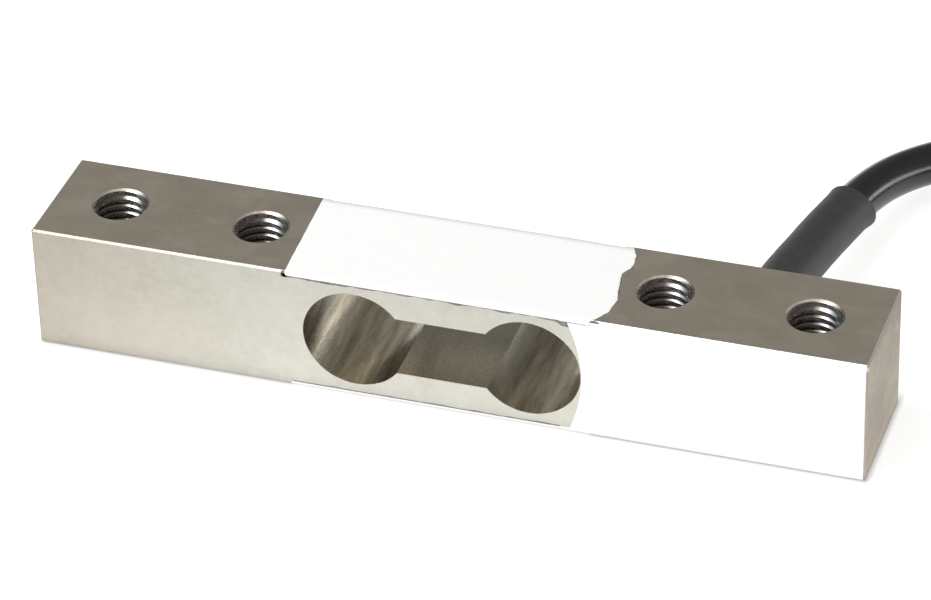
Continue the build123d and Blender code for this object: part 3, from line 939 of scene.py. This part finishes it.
def entry_wrinkles(distance, angle):
    """Slight unevenness of the shrunk sleeve, with a bulge at its free end."""
    uneven = 0.035 * ragged(distance, cos(angle) * 2, sin(angle) * 2, 2.2)
    near_end = max(0.0, 1 - abs(distance - ENTRY_SLEEVE_END + 0.3) / 1.5)
    return uneven + near_end * (0.03 + 0.12 * max(0.0, cos(angle + 0.5)))


def entry_slant(distance, angle):
    """Shift of a point along the cable: the free end was cut at a slant, so it is shorter above."""
    near_end = max(0.0, 1 - (ENTRY_SLEEVE_END - distance) / 4.0)
    return -0.75 * near_end * (1 + cos(angle - 1.5))


def dress_sleeve(sleeve, node_name):
    """Give a sleeve its finish and let it stand for its node."""
    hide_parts(node_name)
    dress(sleeve, shrink)


entry_stations = [(0.05, CABLE_RADIUS + 0.02), (0.1, SLEEVE_RADIUS)]
for i in range(1, SLEEVE_STATIONS):
    entry_stations.append((ENTRY_SLEEVE_END * i / SLEEVE_STATIONS, SLEEVE_RADIUS))
entry_stations += [
    (ENTRY_SLEEVE_END - ROUNDED, SLEEVE_RADIUS + 0.03),
    (ENTRY_SLEEVE_END - 0.02, SLEEVE_RADIUS - 0.02),
    (ENTRY_SLEEVE_END, SLEEVE_RADIUS - 0.1),
    (ENTRY_SLEEVE_END, CABLE_RADIUS - 0.05),
]
entry_sleeve = sleeve_on(
    "heat_shrink_entry", cable_line, entry_stations, entry_wrinkles, entry_slant
)
dress_sleeve(entry_sleeve, "entry_sleeve")

jacket_end = line_lengths(cable_line)[-1]
end_sleeve_start = jacket_end - END_SLEEVE_LENGTH
end_stations = [
    (end_sleeve_start, CABLE_RADIUS - 0.05),
    (end_sleeve_start, CABLE_RADIUS + 0.25),
]
for i in range(16):
    along = end_sleeve_start + ROUNDED + END_SLEEVE_STEP * i
    end_stations.append((along, CABLE_RADIUS + END_SLEEVE_WALL))
end_stations += [
    (jacket_end - ROUNDED, CABLE_RADIUS + END_SLEEVE_WALL - 0.02),
    (jacket_end - 0.02, CABLE_RADIUS + 0.2),
    (jacket_end, CABLE_RADIUS + 0.05),
    (jacket_end - 0.3, CABLE_RADIUS - 0.3),
]
jacket_end_sleeve = sleeve_on("heat_shrink_end", cable_line, end_stations)
dress_sleeve(jacket_end_sleeve, "end_sleeve")

# Leads inside the coil: how far outwards and up each starts in the jacket, how far beyond the
# coil's end radius it lies down, its radius, material and slot
LEADS = {
    "lead_red": (0.6, -0.6, 0.9, LEAD_RADIUS, red, "red_insulation"),
    "lead_black": (0.6, 0.6, -0.9, LEAD_RADIUS, black, "black_insulation"),
    "lead_green": (-0.6, -0.6, -2.7, LEAD_RADIUS, green, "green_insulation"),
    "lead_white": (-0.6, 0.6, -4.7, LEAD_RADIUS, white, "white_insulation"),
    "drain_wire": (-1.5, 0.0, -6.5, DRAIN_RADIUS, tinned, "tinned_copper"),
}
LEAD_START = 2.4
LEAD_TURNS = (20.0, 33.0, 46.0, 59.0, 72.0)
LEAD_SETTLE = (0.5, 0.86, 1.0, 1.0, 1.0)


def lead_points(outwards, rise, floor_place, radius):
    """One lead's way, as in the part's source: straight out of the jacket, then down to the floor
    in an arc inside the coil."""
    centre_x, centre_y = COIL_CENTRE
    start_angle = radians(90 - COIL_END_ANGLE)
    reach = COIL_END_RADIUS + outwards
    target = COIL_END_RADIUS + floor_place
    height = COIL_LEVEL + rise
    x = centre_x + reach * cos(start_angle)
    y = centre_y + reach * sin(start_angle)
    points = [(x, y, height)]
    points.append((x + LEAD_START * sin(start_angle), y - LEAD_START * cos(start_angle), height))
    for turned_by, share in zip(LEAD_TURNS, LEAD_SETTLE):
        angle = start_angle - radians(turned_by) * COIL_END_RADIUS / target
        out = reach + (target - reach) * share
        points.append((
            centre_x + out * cos(angle),
            centre_y + out * sin(angle),
            height + (radius - height) * share,
        ))
    return points


for lead_name, (outwards, rise, floor_place, radius, material, slot_name) in LEADS.items():
    points = lead_points(outwards, rise, floor_place, radius)
    lead = spline_curve(f"{lead_name}_wire", points, radius)
    lead.data.bevel_depth = 1.0
    lead.data.bevel_resolution = 5
    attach(lead, "root")
    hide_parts(lead_name)
    dress(lead, material)


# Floor, light and world; places and sizes of lights in metres
FLOOR_REACH = 3.0
FLOOR_DROP = 0.00002
FLOOR_GLOW = 0.78
FLOOR_COLOUR = (0.55, 0.55, 0.545, 1.0)
GLOW_COLOUR = (1.0, 1.0, 0.99)
SHADE_COLOUR = (0.0, 0.0, 0.03)
SHADE_SHARE = 0.52
SHADE_REACH = 2 * MM
SHADE_END_FADE = 4.0

# Each light's place, the point it looks at, its width, height and power
LIGHTS = {
    "key_light": ((-0.52, -0.285, 0.74), (0, 0, 0), 0.8, 0.8, 7.9),
    "side_light": ((0.86, 0.32, 0.105), (0.035, 0.04, 0.003), 0.8, 0.17, 2.4),
}
DARK_WALL = (-0.25, 0.78, 0.57)


def pale_floor():
    """Plain pale floor that glows a little, as a light table does, apart from a painted soft shadow
    close to the bar."""
    mesh = bpy.data.meshes.new("floor")
    corners = [
        (-FLOOR_REACH, -FLOOR_REACH, 0),
        (FLOOR_REACH, -FLOOR_REACH, 0),
        (FLOOR_REACH, FLOOR_REACH, 0),
        (-FLOOR_REACH, FLOOR_REACH, 0),
    ]
    mesh.from_pydata(corners, [], [(0, 1, 2, 3)])
    floor = bpy.data.objects.new("floor", mesh)
    bpy.context.scene.collection.objects.link(floor)
    floor.location.z = -FLOOR_DROP

    make = Maker(
        "floor",
        Base_Color=FLOOR_COLOUR,
        Roughness=0.9,
        Specular_IOR_Level=0.1,
        Emission_Strength=FLOOR_GLOW,
    )
    x, y, _ = make.axes()
    # Painted shadow close to the bar's foot, fading faster past its ends
    past_end = make.math("SUBTRACT", make.math("ABSOLUTE", x), HALF_LENGTH * MM)
    past_side = make.math("SUBTRACT", make.math("ABSOLUTE", y), HALF_WIDTH * MM)
    past_end = make.math("MULTIPLY", make.math("MAXIMUM", past_end, 0.0), SHADE_END_FADE)
    past = make.reach(past_end, make.math("MAXIMUM", past_side, 0.0))
    near_bar = make.spread(past, 0.0, SHADE_REACH, SHADE_SHARE, 0.0)
    make.shade("Emission Color", make.mix(near_bar, GLOW_COLOUR, SHADE_COLOUR))
    floor.data.materials.append(make.material)


def soft_light(name, place, aim, width, height, power):
    """Soft light at a place, turned towards a point."""
    data = bpy.data.lights.new(name, "AREA")
    data.shape = "RECTANGLE"
    data.size = width
    data.size_y = height
    data.energy = power
    light = bpy.data.objects.new(name, data)
    light.visible_camera = False
    light.location = place
    light.rotation_euler = (Vector(aim) - Vector(place)).to_track_quat("-Z", "Y").to_euler()
    bpy.context.scene.collection.objects.link(light)


def studio_world():
    """Pale surroundings with a darker wall behind and above the object."""
    world = bpy.data.worlds.new("studio")
    bpy.context.scene.world = world
    world.use_nodes = True
    tree = world.node_tree
    background = tree.nodes["Background"]
    coordinates = tree.nodes.new("ShaderNodeTexCoord")
    to_wall = tree.nodes.new("ShaderNodeVectorMath")
    to_wall.operation = "DOT_PRODUCT"
    to_wall.inputs[1].default_value = Vector(DARK_WALL).normalized()
    tree.links.new(coordinates.outputs["Generated"], to_wall.inputs[0])
    ramp = tree.nodes.new("ShaderNodeValToRGB")
    stops = ((0.3, (0.55, 0.55, 0.55, 1)), (0.9, (0.28, 0.275, 0.265, 1)))
    for mark, (position, colour) in zip(ramp.color_ramp.elements, stops):
        mark.position = position
        mark.color = colour
    tree.links.new(to_wall.outputs["Value"], ramp.inputs[0])
    tree.links.new(ramp.outputs[0], background.inputs["Color"])
    background.inputs["Strength"].default_value = 1.0


pale_floor()
studio_world()
for light_name, light_sizes in LIGHTS.items():
    soft_light(light_name, *light_sizes)
bpy.context.scene.view_settings.view_transform = "Standard"
